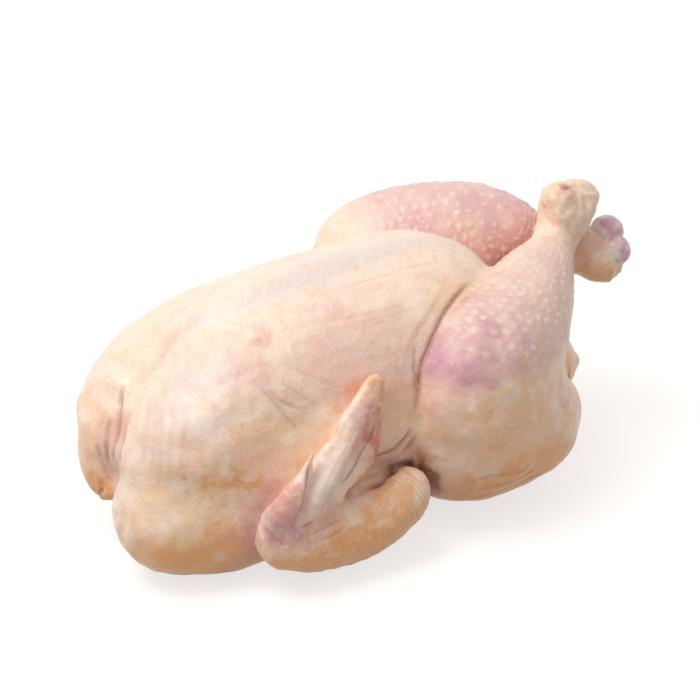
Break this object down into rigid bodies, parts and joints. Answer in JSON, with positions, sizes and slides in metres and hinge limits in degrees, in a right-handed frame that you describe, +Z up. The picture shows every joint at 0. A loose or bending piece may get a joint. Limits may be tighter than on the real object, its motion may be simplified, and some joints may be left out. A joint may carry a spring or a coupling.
{
  "type": "whole raw chicken",
  "caption": "Plucked raw bird without head or feet, lying on its back with breast up, drumsticks crossed at the hocks and wings folded at the sides.",
  "frame": {"origin": "middle of the bottom of the bird's bounding box, on the surface that it lies on", "axes": "+X from the neck end to the hocks, +Y to the side whose hock lies underneath, +Z up through the breast"},
  "size_m": [0.2638, 0.1574, 0.1218],
  "materials": {
    "raw_skin": "moist, semi-gloss raw skin"
  },
  "bodies": {
    "root": {"chicken": "raw_skin"}
  },
  "joints": []
}
